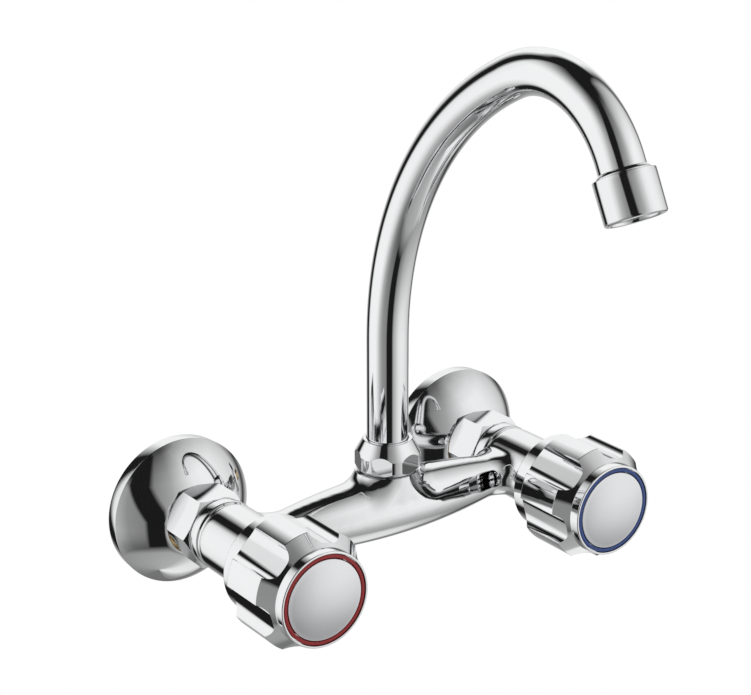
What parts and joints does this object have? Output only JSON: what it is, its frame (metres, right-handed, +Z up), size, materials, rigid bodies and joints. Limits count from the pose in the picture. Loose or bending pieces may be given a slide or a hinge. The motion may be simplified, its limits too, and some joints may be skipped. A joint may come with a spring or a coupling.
{
  "type": "wall mounted kitchen faucet",
  "caption": "Wall-mounted kitchen faucet with hot and cold lobed knobs, a cast cross body, union nuts, wall flanges and a swivelling gooseneck spout.",
  "frame": {"origin": "on the wall, half way between the hot and the cold handle axis, at their height", "axes": "+Z up, +X towards the cold side (right as the user sees it), -Y out of the wall towards the user"},
  "size_m": [0.216, 0.2315, 0.25],
  "materials": {
    "chrome": "polished chrome plate over brass or zinc",
    "brass": "bare machined brass",
    "steel": "stainless steel",
    "satin": "satin silver plated plastic",
    "rubber": "moulded sealing rubber",
    "fibre": "pressed fibre sheet",
    "ceramic": "lapped alumina ceramic",
    "nylon": "moulded white nylon",
    "red": "red moulded plastic",
    "blue": "blue moulded plastic"
  },
  "bodies": {
    "faucet": {"faucet_body": "chrome", "spout_nut": "chrome", "wall_flange_hot": "chrome", "connector_hot": "brass", "union_nut_hot": "chrome", "union_washer_hot": "fibre", "inlet_tail_hot": "brass", "seat_seal_hot": "rubber", "fixed_disc_hot": "ceramic", "headwork_hot": "brass", "headwork_gasket_hot": "rubber", "wall_flange_cold": "chrome", "connector_cold": "brass", "union_nut_cold": "chrome", "union_washer_cold": "fibre", "inlet_tail_cold": "brass", "seat_seal_cold": "rubber", "fixed_disc_cold": "ceramic", "headwork_cold": "brass", "headwork_gasket_cold": "rubber"},
    "spout": {"spout_tube": "chrome", "spout_foot": "brass", "spout_clamp_ring": "nylon", "spout_seal_upper": "rubber", "spout_seal_lower": "rubber", "spout_tip": "chrome", "aerator_housing": "chrome", "aerator_washer": "rubber", "aerator_cartridge": "nylon", "aerator_screen": "steel"},
    "hot_handle": {"knob_hot": "chrome", "knob_screw_hot": "steel", "index_ring_hot": "red", "index_cap_hot": "satin", "spindle_hot": "brass", "spindle_seal_hot": "rubber", "moving_disc_hot": "ceramic"},
    "cold_handle": {"knob_cold": "chrome", "knob_screw_cold": "steel", "index_ring_cold": "blue", "index_cap_cold": "satin", "spindle_cold": "brass", "spindle_seal_cold": "rubber", "moving_disc_cold": "ceramic"}
  },
  "joints": [
    {"name": "spout_swivel", "type": "hinge", "parent": "faucet", "child": "spout", "pos_m": [0, -0.0555, 0.03], "axis": [0, 0, 1], "range_deg": [-105, 105]},
    {"name": "hot_handle_turn", "type": "hinge", "parent": "faucet", "child": "hot_handle", "pos_m": [-0.075, -0.1, 0], "axis": [0, -1, 0], "range_deg": [0, 180]},
    {"name": "cold_handle_turn", "type": "hinge", "parent": "faucet", "child": "cold_handle", "pos_m": [0.075, -0.1, 0], "axis": [0, -1, 0], "range_deg": [0, 180]}
  ]
}
